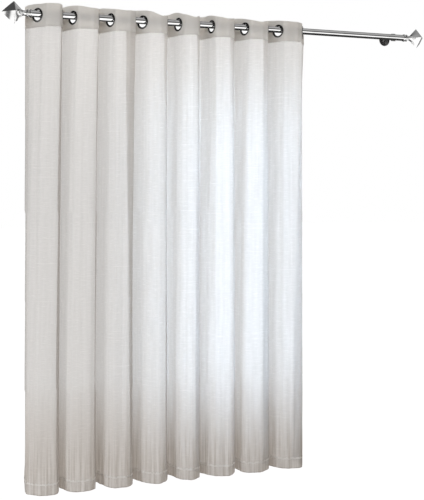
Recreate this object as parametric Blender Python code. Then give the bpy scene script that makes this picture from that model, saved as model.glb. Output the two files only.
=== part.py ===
"""A sheer voile curtain panel that hangs by sixteen eyelets on a straight rod, in eight folds.

Metres, +Z up. +X runs along the rod to the viewer's right, -Y is the front, and +Y is the back,
where the brackets are fixed. The origin is the middle of the right bracket plate's back face,
level with the rod's axis.
"""

import math

import bmesh
import bpy

# Rod, and its places along X measured from the cloth's left edge at the heading
PLATE_TO_ROD = 0.095
RIGHT_BRACKET_AT = 1.829
LEFT_BRACKET_AT = 0.107
ROD_START = 0.027
ROD_END = 1.880
ROD_RADIUS = 0.015
ROD_WALL = 0.0012
FIT_GAP = 0.0003

# Cloth, cut sizes and heights above the rod's axis
FLAT_WIDTH = 2.54
DROP = 2.134
HEADING_HEIGHT = 0.100
HEADING_THICK = 0.0024
PANEL_THICK = 0.0016
EYELET_COUNT = 16
EDGE_TO_EYELET = 0.072
EYELET_PITCH = (FLAT_WIDTH - 2 * EDGE_TO_EYELET) / (EYELET_COUNT - 1)
HEADING_ABOVE_ROD = 0.042

# Eyelet ring
RING_BORE = 0.0225
RING_OUTER = 0.031
RING_CORE = 0.0262
RING_HALF_THICK = 0.0038
RING_LIP_WIDE = 0.0010
RING_LIP_DEEP = 0.0013
RING_RIM = 0.0009
HOLE_RADIUS = 0.0265
RING_FLAT = 0.0314
RING_SIDES = 20
HANG_STEP = 0.0001
RING_SHARP = 50

TOP = HEADING_ABOVE_ROD
SEAM = TOP - HEADING_HEIGHT
HEM = TOP - DROP

# One row a fold at the heading, where every eyelet's middle lies on the rod's axis:
# along = distance of an eyelet from the left edge, turn = how far the cloth there swings off the rod
# line (left flanks come forward, right flanks go back), lean = how far the crest's round sits left.
HEADING_COLUMNS = ("left_along", "left_turn", "right_along", "right_turn", "lean")
HEADING_FOLDS = (
    (0.0525, 51, 0.1588, 82, 0.15),
    (0.2082, 62, 0.3211, 80, 0.20),
    (0.3772, 62, 0.4760, 104, 0.10),
    (0.5255, 54, 0.6350, 84, 0.15),
    (0.6946, 69, 0.7925, 80, 0.10),
    (0.8573, 75, 0.9636, 78, 0.10),
    (1.0233, 66, 1.1362, 76, 0.20),
    (1.1949, 57, 1.3205, 62, 0.20),
)
LEFT_EDGE_TURN = 50
RIGHT_EDGE_TURN = 56

# One row a fold at the hem. front and back are how far behind the rod's axis the crest and the
# trough after it lie.
HEM_COLUMNS = ("left_along", "left_turn", "front", "right_along", "right_turn", "back", "lean")
HEM_FOLDS = (
    (0.020, 52, -0.026, 0.146, 84, 0.080, -0.20),
    (0.180, 62, -0.028, 0.310, 82, 0.087, 0.00),
    (0.356, 72, -0.035, 0.482, 82, 0.080, 0.10),
    (0.529, 60, -0.033, 0.643, 82, 0.086, 0.10),
    (0.691, 72, -0.034, 0.800, 80, 0.079, 0.00),
    (0.842, 58, -0.036, 0.975, 74, 0.078, 0.10),
    (1.005, 80, -0.038, 1.150, 80, 0.084, 0.10),
    (1.182, 60, -0.042, 1.319, 95, 0.078, -0.10),
)
HEM_STATION_DEPTH = 0.010
HEM_LEFT_EDGE = (0.008, 0.078)
HEM_LEFT_EDGE_TURN = 98
HEM_RIGHT_EDGE = (1.309, 0.078)
HEM_RIGHT_EDGE_TURN = 98

# The heading's uneven top edge, one row a fold: rise above a level edge at these eyelet pitches
# from the fold's left eyelet
RISE_AT = (-0.45, -0.10, 0.33, 0.60, 0.95)
HEADING_RISES = (
    (0.000, 0.002, 0.000, 0.000, -0.008),
    (0.006, 0.006, -0.002, -0.006, -0.007),
    (0.006, 0.005, -0.005, -0.007, -0.004),
    (0.006, 0.006, -0.005, -0.021, -0.012),
    (0.004, 0.006, -0.009, -0.017, -0.004),
    (0.006, 0.006, -0.007, -0.012, -0.005),
    (0.006, 0.001, -0.013, -0.017, -0.006),
    (0.006, 0.003, -0.005, -0.006, -0.012),
)

# How the cloth is divided
ROUND_STEPS = 7
EDGE_FLAT_SHARE = RING_FLAT / EDGE_TO_EYELET
EDGE_SHARES = (EDGE_FLAT_SHARE, (1 + EDGE_FLAT_SHARE) / 2)
BEZIER_SAMPLES = 40
HALVINGS = 30
SHORTEST_HANDLE = 0.001
MIDDLE_WEIGHT = 8 / 3
PANEL_ROWS = (0.0, 0.06, 0.18, 0.40, 0.70, 1.0)
RELAX_POWER = 1.8

# Finial, one row a section from the rod's end outwards: how far out, half its width across
# the corners, and 0 for a round section up to 1 for a square one standing on its corner
FINIAL_COLUMNS = ("out", "half", "square")
FINIAL_SECTIONS = (
    (-0.0300, 0.0130, 0.0),
    (0.0003, 0.0130, 0.0),
    (0.0003, 0.0168, 0.0),
    (0.0030, 0.0180, 0.0),
    (0.0070, 0.0180, 0.0),
    (0.0100, 0.0140, 0.0),
    (0.0120, 0.0125, 0.0),
    (0.0150, 0.0160, 0.0),
    (0.0185, 0.0172, 0.0),
    (0.0220, 0.0160, 0.0),
    (0.0250, 0.0120, 0.0),
    (0.0310, 0.0110, 0.0),
    (0.0380, 0.0122, 0.3),
    (0.0440, 0.0165, 0.7),
    (0.0500, 0.0228, 1.0),
    (0.0740, 0.0472, 1.0),
    (0.0765, 0.0485, 1.0),
    (0.1260, 0.0010, 1.0),
)
FINIAL_SIDES = 24
TURNED_SHARP = 35

# Bracket, one row a section from the plate's back face to the rod: distance out and radius
BRACKET_SECTIONS = (
    (0.0000, 0.0290),
    (0.0025, 0.0300),
    (0.0050, 0.0285),
    (0.0065, 0.0130),
    (0.0140, 0.0080),
    (0.0775, 0.0080),
)
BRACKET_SIDES = 24
SADDLE_LENGTH = 0.022
SADDLE_WALL = 0.004
SADDLE_REACH = 75
SADDLE_STEPS = 10

# Colours: linear RGB, metallic, roughness
FINISHES = {
    "voile": ((0.80, 0.78, 0.74), 0.0, 0.85),
    "heading": ((0.84, 0.83, 0.81), 0.0, 0.80),
    "nickel": ((0.62, 0.61, 0.60), 1.0, 0.22),
}


def clear_scene():
    for thing in list(bpy.data.objects):
        bpy.data.objects.remove(thing, do_unlink=True)


def material(name):
    colour, metallic, roughness = FINISHES[name]
    made = bpy.data.materials.new(name)
    made.use_nodes = True
    shader = made.node_tree.nodes["Principled BSDF"]
    shader.inputs["Base Color"].default_value = (*colour, 1.0)
    shader.inputs["Metallic"].default_value = metallic
    shader.inputs["Roughness"].default_value = roughness
    return made


def add_object(name, mesh, finish):
    thing = bpy.data.objects.new(name, mesh)
    bpy.context.scene.collection.objects.link(thing)
    if not mesh.materials:
        mesh.materials.append(finish)
    return thing


def mesh_from(name, points, faces):
    """A mesh with its faces turned outwards."""
    mesh = bpy.data.meshes.new(name)
    mesh.from_pydata(points, [], faces)
    work = bmesh.new()
    work.from_mesh(mesh)
    bmesh.ops.recalc_face_normals(work, faces=work.faces)
    work.to_mesh(mesh)
    work.free()
    return mesh


def row_as_dict(columns, row):
    return dict(zip(columns, row))


def heading_of(turn):
    """Unit direction in plan of cloth that swings this many degrees back from the rod line."""
    return (math.cos(math.radians(turn)), math.sin(math.radians(turn)))


def along(point, direction, distance):
    return (point[0] + direction[0] * distance, point[1] + direction[1] * distance)


def bezier(start, start_turn, end, end_turn, handles):
    """Points of a cubic between two places, with the cloth's direction given at both."""
    first = along(start, heading_of(start_turn), handles[0])
    last = along(end, heading_of(end_turn), -handles[1])
    points = []
    for step in range(BEZIER_SAMPLES + 1):
        t = step / BEZIER_SAMPLES
        u = 1 - t
        weights = (u**3, 3 * u * u * t, 3 * u * t * t, t**3)
        corners = (start, first, last, end)
        points.append(
            tuple(sum(w * c[axis] for w, c in zip(weights, corners)) for axis in (0, 1))
        )
    return points


def length_of(points):
    return sum(math.dist(a, b) for a, b in zip(points, points[1:]))


def handles_for(scale, lean):
    return (scale * (1 + lean), scale * (1 - lean))


def curve_of_length(start, start_turn, end, end_turn, length, lean):
    """The cubic whose length is the cloth between two flat stretches."""
    low, high = SHORTEST_HANDLE, length
    for _ in range(HALVINGS):
        middle = (low + high) / 2
        points = bezier(start, start_turn, end, end_turn, handles_for(middle, lean))
        if length_of(points) < length:
            low = middle
        else:
            high = middle
    return points


def curve_to_depth(start, start_turn, end, end_turn, depth, lean):
    """The cubic that reaches a given depth at its middle."""
    rise = heading_of(start_turn)[1] * (1 + lean) - heading_of(end_turn)[1] * (1 - lean)
    scale = (depth - (start[1] + end[1]) / 2) * MIDDLE_WEIGHT / rise
    return bezier(start, start_turn, end, end_turn, handles_for(scale, lean))


def evenly(points, shares):
    """Places on a line of points at these shares of its length."""
    total = length_of(points)
    found = []
    index, walked = 0, 0.0
    for share in shares:
        target = share * total
        step = math.dist(points[index], points[index + 1])
        while walked + step < target and index < len(points) - 2:
            walked += step
            index += 1
            step = math.dist(points[index], points[index + 1])
        part = (target - walked) / step
        a, b = points[index], points[index + 1]
        found.append((a[0] + (b[0] - a[0]) * part, a[1] + (b[1] - a[1]) * part))
    return found


def heading_stations():
    """(place, turn, lean of the curve that follows) at each eyelet, from the left."""
    stations = []
    for row in HEADING_FOLDS:
        fold = row_as_dict(HEADING_COLUMNS, row)
        stations.append(((fold["left_along"], 0.0), -fold["left_turn"], fold["lean"]))
        stations.append(((fold["right_along"], 0.0), fold["right_turn"], 0.0))
    return stations


def hem_stations():
    """(place, turn, depth and lean of the curve that follows) at each flank, from the left."""
    stations = []
    for row in HEM_FOLDS:
        fold = row_as_dict(HEM_COLUMNS, row)
        left = (fold["left_along"], HEM_STATION_DEPTH)
        right = (fold["right_along"], HEM_STATION_DEPTH)
        stations.append((left, -fold["left_turn"], fold["front"], fold["lean"]))
        stations.append((right, fold["right_turn"], fold["back"], 0.0))
    return stations


def span_shares():
    """Shares of an eyelet pitch at which the cloth has its columns."""
    flat = RING_FLAT / EYELET_PITCH
    inner = [flat + (1 - 2 * flat) * k / ROUND_STEPS for k in range(ROUND_STEPS + 1)]
    return [0.0, *inner]


def left_edge_shares():
    """Shares of the cloth from the left edge to the first eyelet, without the eyelet itself."""
    return [0.0, *(1 - share for share in reversed(EDGE_SHARES))]


def right_edge_shares():
    """Shares of the cloth from the last eyelet to the right edge."""
    return [0.0, *EDGE_SHARES, 1.0]


def column_pitches():
    """Where the cloth's columns are, in eyelet pitches from the first eyelet."""
    edge = EDGE_TO_EYELET / EYELET_PITCH
    pitches = [(share - 1) * edge for share in left_edge_shares()]
    for eyelet in range(EYELET_COUNT - 1):
        pitches += [eyelet + share for share in span_shares()]
    return pitches + [EYELET_COUNT - 1 + share * edge for share in right_edge_shares()]


def heading_rises():
    """Rise of the heading's top edge at each column."""
    known = []
    for fold, row in enumerate(HEADING_RISES):
        known += [(2 * fold + at, rise) for at, rise in zip(RISE_AT, row)]
    rises = []
    for pitch in column_pitches():
        before = max((k for k in known if k[0] <= pitch), default=known[0])
        after = min((k for k in known if k[0] > pitch), default=known[-1])
        gap = after[0] - before[0]
        share = (pitch - before[0]) / gap if gap else 0.0
        rises.append(before[1] + (after[1] - before[1]) * share)
    return rises


def heading_line():
    """The heading's plan line as columns, flat where each eyelet sits."""
    stations = heading_stations()
    first, turn, _ = stations[0]
    edge = along(first, heading_of(-LEFT_EDGE_TURN), -EDGE_TO_EYELET)
    flat = along(first, heading_of(turn), -RING_FLAT)
    line = evenly([edge, flat, first], left_edge_shares())
    for here, after in zip(stations, stations[1:]):
        start = along(here[0], heading_of(here[1]), RING_FLAT)
        end = along(after[0], heading_of(after[1]), -RING_FLAT)
        curve = curve_of_length(
            start, here[1], end, after[1], EYELET_PITCH - 2 * RING_FLAT, here[2]
        )
        line += evenly([here[0], *curve, after[0]], span_shares())
    last, turn, _ = stations[-1]
    flat = along(last, heading_of(turn), RING_FLAT)
    edge = along(flat, heading_of(RIGHT_EDGE_TURN), EDGE_TO_EYELET - RING_FLAT)
    line += evenly([last, flat, edge], right_edge_shares())
    return line


def hem_line():
    """The hem's plan line, with as many columns as the heading's."""
    stations = hem_stations()
    first, turn = stations[0][:2]
    edge = curve_of_length(
        HEM_LEFT_EDGE, -HEM_LEFT_EDGE_TURN, first, turn, EDGE_TO_EYELET, 0.0
    )
    line = evenly(edge, left_edge_shares())
    for here, after in zip(stations, stations[1:]):
        curve = curve_to_depth(here[0], here[1], after[0], after[1], here[2], here[3])
        line += evenly(curve, span_shares())
    last, turn = stations[-1][:2]
    edge = curve_of_length(
        last, turn, HEM_RIGHT_EDGE, HEM_RIGHT_EDGE_TURN, EDGE_TO_EYELET, 0.0
    )
    line += evenly(edge, right_edge_shares())
    return line


def to_row(point):
    """From distances along the rod and back from its axis to X and Y."""
    return (point[0] - RIGHT_BRACKET_AT, point[1] - PLATE_TO_ROD)


def blended(upper, lower, share):
    return [
        (a[0] + (b[0] - a[0]) * share, a[1] + (b[1] - a[1]) * share)
        for a, b in zip(upper, lower)
    ]


def relaxed(share):
    """How much of the hem's shape the cloth has at this share of the way down."""
    return 1 - (1 - share) ** RELAX_POWER


def plan_normals(line):
    """Unit normals of a plan line, pointing to the front where it runs along +X."""
    normals = []
    for index in range(len(line)):
        before = line[max(index - 1, 0)]
        after = line[min(index + 1, len(line) - 1)]
        dx, dy = after[0] - before[0], after[1] - before[1]
        size = math.hypot(dx, dy)
        normals.append((dy / size, -dx / size))
    return normals


def cloth_mesh(name, rows, thickness):
    """A closed sheet from rows of (height at each column, plan line), the highest first."""
    points = []
    for side in (1, -1):
        for heights, line in rows:
            for place, normal, height in zip(line, plan_normals(line), heights):
                moved = along(place, normal, side * thickness / 2)
                points.append((*to_row(moved), height))
    width, count = len(rows[0][1]), len(rows)
    back = width * count
    faces = []
    for row in range(count - 1):
        for column in range(width - 1):
            a = row * width + column
            b = a + width
            faces.append((a, b, b + 1, a + 1))
            faces.append((back + a, back + a + 1, back + b + 1, back + b))
    for column in range(width - 1):
        for row, flip in ((0, False), (count - 1, True)):
            a = row * width + column
            face = (a, a + 1, back + a + 1, back + a)
            faces.append(face[::-1] if flip else face)
    for row in range(count - 1):
        for column, flip in ((0, True), (width - 1, False)):
            a = row * width + column
            face = (a, a + width, back + a + width, back + a)
            faces.append(face[::-1] if flip else face)
    return mesh_from(name, points, faces)


def make_panel(finish):
    upper, lower = heading_line(), hem_line()
    top = SEAM - FIT_GAP
    rows = []
    for share in PANEL_ROWS:
        height = top + (HEM - top) * share
        rows.append(([height] * len(upper), blended(upper, lower, relaxed(share))))
    return add_object("panel", cloth_mesh("panel", rows, PANEL_THICK), finish)


def tube_around_y(radius, half_length, sides):
    """Points and faces of a closed cylinder along Y about the origin."""
    points = []
    for end in (-half_length, half_length):
        for side in range(sides):
            turn = math.tau * side / sides
            points.append((radius * math.cos(turn), end, radius * math.sin(turn)))
    faces = [tuple(range(sides)), tuple(range(2 * sides - 1, sides - 1, -1))]
    for side in range(sides):
        after = (side + 1) % sides
        faces.append((side, sides + side, sides + after, after))
    return points, faces


def placed(points, place, turn):
    """Points turned in plan and moved to an eyelet's middle."""
    cos, sin = heading_of(turn)
    return [
        (place[0] + x * cos - y * sin, place[1] + x * sin + y * cos, place[2] + z)
        for x, y, z in points
    ]


def rod_reach(height, turn, axial):
    """How far from the ring's middle the slanting rod reaches, at this distance along its axis."""
    slant = abs(math.radians(turn))
    half_width = ROD_RADIUS / math.sin(slant)
    shift = abs(axial / math.tan(slant))
    reach = 0.0
    for step in range(RING_SIDES + 1):
        angle = math.pi / 2 * step / RING_SIDES
        across = shift + half_width * math.cos(angle)
        reach = max(reach, math.hypot(across, ROD_RADIUS * math.sin(angle) - height))
    return reach


def hang_height(turn):
    """Height of a ring's middle when it hangs on the rod without cutting into it."""
    flat_side = math.cos(math.pi / RING_SIDES)
    height = ROD_RADIUS + FIT_GAP - RING_BORE
    waist, lip, crown = ring_profile()[:3]
    while any(
        rod_reach(height, turn, axial) > radius * flat_side - FIT_GAP
        for radius, axial in (waist, lip, crown)
    ):
        height += HANG_STEP
    return height


def eyelet_places():
    """(X, Y and Z, turn) of each eyelet."""
    return [
        ((*to_row(place), hang_height(turn)), turn) for place, turn, _ in heading_stations()
    ]


def make_cutter():
    """All the heading's holes as one guide object."""
    points, faces = [], []
    pegs, peg_faces = tube_around_y(HOLE_RADIUS, 2 * HEADING_THICK, RING_SIDES)
    for place, turn in eyelet_places():
        start = len(points)
        points += placed(pegs, place, turn)
        faces += [tuple(start + corner for corner in face) for face in peg_faces]
    cutter = add_object("heading_holes", mesh_from("heading_holes", points, faces), None)
    cutter.hide_render = True
    cutter.display_type = "WIRE"
    return cutter


def make_heading(finish):
    line = heading_line()
    top = [TOP + rise for rise in heading_rises()]
    seam = [SEAM] * len(line)
    mesh = cloth_mesh("heading", [(top, line), (seam, line)], HEADING_THICK)
    heading = add_object("heading", mesh, finish)
    cut = heading.modifiers.new("holes", "BOOLEAN")
    cut.operation = "DIFFERENCE"
    cut.solver = "EXACT"
    cut.object = make_cutter()
    return heading


def ring_profile():
    """Half the ring's section as (radius, distance along its axis), with a groove for the cloth."""
    groove = HEADING_THICK / 2 + FIT_GAP
    upper = [
        (RING_BORE + RING_LIP_WIDE, RING_HALF_THICK - RING_LIP_DEEP),
        (RING_CORE, RING_HALF_THICK),
        (RING_OUTER, groove + RING_RIM),
        (RING_OUTER, groove),
        (RING_CORE, groove),
    ]
    lower = [(radius, -axial) for radius, axial in reversed(upper)]
    return [(RING_BORE, 0.0), *upper, *lower]


def ring_mesh():
    profile = ring_profile()
    points = []
    for side in range(RING_SIDES):
        turn = math.tau * side / RING_SIDES
        points += [(r * math.cos(turn), y, r * math.sin(turn)) for r, y in profile]
    size = len(profile)
    faces = []
    for side in range(RING_SIDES):
        here, after = side * size, (side + 1) % RING_SIDES * size
        for corner in range(size):
            other = (corner + 1) % size
            faces.append((here + corner, here + other, after + other, after + corner))
    mesh = mesh_from("eyelet", points, faces)
    mesh.shade_smooth()
    mesh.set_sharp_from_angle(angle=math.radians(RING_SHARP))
    return mesh


def make_eyelets(finish):
    mesh = ring_mesh()
    for number, (place, turn) in enumerate(eyelet_places(), 1):
        ring = add_object(f"eyelet_{number:02d}", mesh, finish)
        ring.location = place
        ring.rotation_euler = (0, 0, math.radians(turn))


def lathe_along_x(name, sections, sides, caps=True):
    """A closed solid from sections of (x, function of the angle that gives the radius)."""
    points = []
    for x, radius_at in sections:
        for side in range(sides):
            turn = math.tau * side / sides
            r = radius_at(turn)
            points.append((x, r * math.cos(turn), r * math.sin(turn)))
    faces = []
    rings = len(sections)
    joined = rings - 1 if caps else rings
    for ring in range(joined):
        here, after = ring * sides, (ring + 1) % rings * sides
        for side in range(sides):
            other = (side + 1) % sides
            faces.append((here + side, here + other, after + other, after + side))
    if caps:
        faces.append(tuple(range(sides)))
        faces.append(tuple(range((rings - 1) * sides, rings * sides)))
    mesh = mesh_from(name, points, faces)
    mesh.shade_smooth()
    mesh.set_sharp_from_angle(angle=math.radians(TURNED_SHARP))
    return mesh


def round_section(radius):
    return lambda turn: radius


def square_section(half, square):
    """Between a circle and a square that stands on its corner."""

    def radius_at(turn):
        cornered = half / (abs(math.cos(turn)) + abs(math.sin(turn)))
        return (1 - square) * half + square * cornered

    return radius_at


def make_rod(finish):
    start, end = ROD_START - RIGHT_BRACKET_AT, ROD_END - RIGHT_BRACKET_AT
    outer, inner = round_section(ROD_RADIUS), round_section(ROD_RADIUS - ROD_WALL)
    sections = [(start, outer), (end, outer), (end, inner), (start, inner)]
    rod = add_object("rod", lathe_along_x("rod", sections, FINIAL_SIDES, caps=False), finish)
    rod.location = (0, -PLATE_TO_ROD, 0)


def make_finials(finish):
    rows = [row_as_dict(FINIAL_COLUMNS, row) for row in FINIAL_SECTIONS]
    sections = [(row["out"], square_section(row["half"], row["square"])) for row in rows]
    mesh = lathe_along_x("finial", sections, FINIAL_SIDES)
    ends = (("finial_left", ROD_START, math.pi), ("finial_right", ROD_END, 0.0))
    for name, place, turn in ends:
        finial = add_object(name, mesh, finish)
        finial.location = (place - RIGHT_BRACKET_AT, -PLATE_TO_ROD, 0)
        finial.rotation_euler = (0, 0, turn)


def post_mesh():
    """Plate and post, turned about the line from the plate to the rod."""
    sections = [(out, round_section(radius)) for out, radius in BRACKET_SECTIONS]
    return lathe_along_x("bracket", sections, BRACKET_SIDES)


def saddle_mesh():
    """Curved shoe behind the rod, as an arc swept along X, in the post's frame."""
    inner = ROD_RADIUS + FIT_GAP
    outer = inner + SADDLE_WALL
    arc = []
    for radius, steps in (
        (inner, range(SADDLE_STEPS + 1)),
        (outer, range(SADDLE_STEPS, -1, -1)),
    ):
        for step in steps:
            turn = math.radians(SADDLE_REACH) * (2 * step / SADDLE_STEPS - 1)
            arc.append((PLATE_TO_ROD - radius * math.cos(turn), radius * math.sin(turn)))
    points = []
    for side in (-SADDLE_LENGTH / 2, SADDLE_LENGTH / 2):
        points += [(x, side, z) for x, z in arc]
    size = len(arc)
    faces = []
    for corner in range(size):
        other = (corner + 1) % size
        faces.append((corner, other, size + other, size + corner))
    for step in range(SADDLE_STEPS):
        far = size - 1 - step
        for base in (0, size):
            faces.append((base + step, base + step + 1, base + far - 1, base + far))
    return mesh_from("saddle", points, faces)


def make_brackets(finish):
    post, saddle = post_mesh(), saddle_mesh()
    for name, place in (("left", LEFT_BRACKET_AT), ("right", RIGHT_BRACKET_AT)):
        shoe = add_object(f"saddle_shape_{name}", saddle, finish)
        shoe.hide_render = True
        shoe.display_type = "WIRE"
        bracket = add_object(f"bracket_{name}", post, finish)
        for part in (shoe, bracket):
            part.location = (place - RIGHT_BRACKET_AT, 0, 0)
            part.rotation_euler = (0, 0, -math.pi / 2)
        join = bracket.modifiers.new("saddle", "BOOLEAN")
        join.operation = "UNION"
        join.solver = "EXACT"
        join.object = shoe


def main():
    clear_scene()
    make_panel(material("voile"))
    make_heading(material("heading"))
    nickel = material("nickel")
    make_eyelets(nickel)
    make_rod(nickel)
    make_finials(nickel)
    make_brackets(nickel)


main()
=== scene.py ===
"""Sheer voile curtain that hangs by sixteen eyelets on a metal rod: the look of every surface.

Metres, +Z up. +X runs along the rod, -Y is the front and +Y the back, where the brackets are
fixed. Places on the curtain are also given as (along, back): the distance along the rod from the
cloth's left edge, and the distance behind the rod's axis. Places on the flat cloth are
(across, down) from its top left.
"""

import math

import bmesh
import bpy
import numpy as np
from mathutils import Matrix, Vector


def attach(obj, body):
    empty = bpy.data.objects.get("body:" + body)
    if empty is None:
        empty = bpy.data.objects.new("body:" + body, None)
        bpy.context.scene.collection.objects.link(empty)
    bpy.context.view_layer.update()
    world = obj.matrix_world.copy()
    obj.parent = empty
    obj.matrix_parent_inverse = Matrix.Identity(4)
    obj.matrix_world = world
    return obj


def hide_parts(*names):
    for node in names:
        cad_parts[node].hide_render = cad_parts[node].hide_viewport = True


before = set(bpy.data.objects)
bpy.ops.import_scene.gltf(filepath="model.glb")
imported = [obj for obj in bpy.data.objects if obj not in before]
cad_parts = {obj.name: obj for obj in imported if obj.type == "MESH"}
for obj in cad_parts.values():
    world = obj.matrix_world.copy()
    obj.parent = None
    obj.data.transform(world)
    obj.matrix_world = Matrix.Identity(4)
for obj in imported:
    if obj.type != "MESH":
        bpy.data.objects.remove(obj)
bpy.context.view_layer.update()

BODY = "root"

# Rod and cloth, as the construction has them
PLATE_TO_ROD = 0.095
RIGHT_BRACKET_AT = 1.829
ROD_START = 0.027
ROD_END = 1.880
ROD_RADIUS = 0.015
ROD_WALL = 0.0012
FIT_GAP = 0.0003
FLAT_WIDTH = 2.54
DROP = 2.134
HEADING_HEIGHT = 0.100
HEADING_THICK = 0.0024
EYELET_COUNT = 16
EDGE_TO_EYELET = 0.072
EYELET_PITCH = (FLAT_WIDTH - 2 * EDGE_TO_EYELET) / (EYELET_COUNT - 1)
TOP = 0.042
SEAM = TOP - HEADING_HEIGHT
HEM = TOP - DROP
PANEL_LENGTH = SEAM - HEM

# Eyelet ring
RING_BORE = 0.0225
RING_OUTER = 0.031
RING_CORE = 0.0262
RING_HALF_THICK = 0.0038
RING_LIP_WIDE = 0.0010
RING_LIP_DEEP = 0.0013
RING_RIM = 0.0009
HOLE_RADIUS = 0.0265
RING_FLAT = 0.0314
CAD_RING_SIDES = 20
HANG_STEP = 0.0001

# One row a fold at the heading: place of each eyelet along the rod, how far the cloth swings off
# the rod line there, and how far the crest's round sits left
HEADING_COLUMNS = ("left_along", "left_turn", "right_along", "right_turn", "lean")
HEADING_FOLDS = (
    (0.0525, 51, 0.1588, 82, 0.15),
    (0.2082, 62, 0.3211, 80, 0.20),
    (0.3772, 62, 0.4760, 104, 0.10),
    (0.5255, 54, 0.6350, 84, 0.15),
    (0.6946, 69, 0.7925, 80, 0.10),
    (0.8573, 75, 0.9636, 78, 0.10),
    (1.0233, 66, 1.1362, 76, 0.20),
    (1.1949, 57, 1.3205, 62, 0.20),
)
LEFT_EDGE_TURN = 50
RIGHT_EDGE_TURN = 56

# One row a fold at the hem, with the depths of the crest and of the trough after it
HEM_COLUMNS = ("left_along", "left_turn", "front", "right_along", "right_turn", "back", "lean")
HEM_FOLDS = (
    (0.020, 52, -0.026, 0.146, 84, 0.080, -0.20),
    (0.180, 62, -0.028, 0.310, 82, 0.087, 0.00),
    (0.356, 72, -0.035, 0.482, 82, 0.080, 0.10),
    (0.529, 60, -0.033, 0.643, 82, 0.086, 0.10),
    (0.691, 72, -0.034, 0.800, 80, 0.079, 0.00),
    (0.842, 58, -0.036, 0.975, 74, 0.078, 0.10),
    (1.005, 80, -0.038, 1.150, 80, 0.084, 0.10),
    (1.182, 60, -0.042, 1.319, 95, 0.078, -0.10),
)
HEM_STATION_DEPTH = 0.010
HEM_LEFT_EDGE = (0.008, 0.078)
HEM_LEFT_EDGE_TURN = 98
HEM_RIGHT_EDGE = (1.309, 0.078)
HEM_RIGHT_EDGE_TURN = 98
RELAX_POWER = 1.8
BEZIER_SAMPLES = 120
HALVINGS = 30
SHORTEST_HANDLE = 0.001
MIDDLE_WEIGHT = 8 / 3
LINE_STEP = 0.001

# Finial, as the construction has it
FINIAL_SECTIONS = (
    (-0.0300, 0.0130, 0.0),
    (0.0003, 0.0130, 0.0),
    (0.0003, 0.0168, 0.0),
    (0.0030, 0.0180, 0.0),
    (0.0070, 0.0180, 0.0),
    (0.0100, 0.0140, 0.0),
    (0.0120, 0.0125, 0.0),
    (0.0150, 0.0160, 0.0),
    (0.0185, 0.0172, 0.0),
    (0.0220, 0.0160, 0.0),
    (0.0250, 0.0120, 0.0),
    (0.0310, 0.0110, 0.0),
    (0.0380, 0.0122, 0.3),
    (0.0440, 0.0165, 0.7),
    (0.0500, 0.0228, 1.0),
    (0.0740, 0.0472, 1.0),
    (0.0765, 0.0485, 1.0),
    (0.1260, 0.0010, 1.0),
)
FINIAL_SIDES = 64
LEFT_TIP = 0.1280
RIGHT_TIP = 0.1200
FACET_STEPS = 14
FACET_BULGE = 0.0011
ROD_SIDES = 96
RING_SIDES = 72
TURNED_SHARP = 35
RING_SHARP = 50

# How the visual cloth is divided and sewn
COLUMN_STEP = 0.0046
TUCK = 0.008
HEM_DEEP = 0.050
SIDE_HEM_WIDE = 0.026
LAYER_GAP = 0.0009
SIDE_STEPS = 5
TOP_ROW_STEP = 0.0055
TOP_ROWS_TO = 0.036
MIDDLE_ROWS = 122
HEM_ROWS_ABOVE = 0.080
HEM_ROWS = 19
TURNED_ROWS = 9
TURNED_FROM = 0.002
HEADING_COLUMN_STEP = 0.0044
HEADING_ROWS = 25
HEADING_TURN_ROWS = 7
HEADING_PINCH = 0.25
PINCH_UP = 0.004
PINCH_WIDE = 0.003


# Plan lines of the cloth


def heading_of(turn):
    return (math.cos(math.radians(turn)), math.sin(math.radians(turn)))


def along(point, direction, distance):
    return (point[0] + direction[0] * distance, point[1] + direction[1] * distance)


def bezier(start, start_turn, end, end_turn, handles):
    """Points of a cubic between two places, with the cloth's direction given at both."""
    first = along(start, heading_of(start_turn), handles[0])
    last = along(end, heading_of(end_turn), -handles[1])
    t = np.linspace(0.0, 1.0, BEZIER_SAMPLES + 1)[:, None]
    u = 1 - t
    corners = [np.array(corner) for corner in (start, first, last, end)]
    weights = (u**3, 3 * u * u * t, 3 * u * t * t, t**3)
    return sum(weight * corner for weight, corner in zip(weights, corners))


def length_of(points):
    return float(np.linalg.norm(np.diff(points, axis=0), axis=1).sum())


def handles_for(scale, lean):
    return (scale * (1 + lean), scale * (1 - lean))


def curve_of_length(start, start_turn, end, end_turn, length, lean):
    low, high = SHORTEST_HANDLE, length
    for _ in range(HALVINGS):
        middle = (low + high) / 2
        points = bezier(start, start_turn, end, end_turn, handles_for(middle, lean))
        if length_of(points) < length:
            low = middle
        else:
            high = middle
    return points


def curve_to_depth(start, start_turn, end, end_turn, depth, lean):
    rise = heading_of(start_turn)[1] * (1 + lean) - heading_of(end_turn)[1] * (1 - lean)
    scale = (depth - (start[1] + end[1]) / 2) * MIDDLE_WEIGHT / rise
    return bezier(start, start_turn, end, end_turn, handles_for(scale, lean))


def evenly(points, shares):
    points = np.array(points, float)
    walked = np.concatenate([[0.0], np.cumsum(np.linalg.norm(np.diff(points, axis=0), axis=1))])
    wanted = np.array(shares) * walked[-1]
    return np.stack([np.interp(wanted, walked, points[:, axis]) for axis in (0, 1)], axis=1)


def heading_stations():
    stations = []
    for row in HEADING_FOLDS:
        fold = dict(zip(HEADING_COLUMNS, row))
        stations.append(((fold["left_along"], 0.0), -fold["left_turn"], fold["lean"]))
        stations.append(((fold["right_along"], 0.0), fold["right_turn"], 0.0))
    return stations


def hem_stations():
    stations = []
    for row in HEM_FOLDS:
        fold = dict(zip(HEM_COLUMNS, row))
        left = (fold["left_along"], HEM_STATION_DEPTH)
        right = (fold["right_along"], HEM_STATION_DEPTH)
        stations.append((left, -fold["left_turn"], fold["front"], fold["lean"]))
        stations.append((right, fold["right_turn"], fold["back"], 0.0))
    return stations


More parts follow.
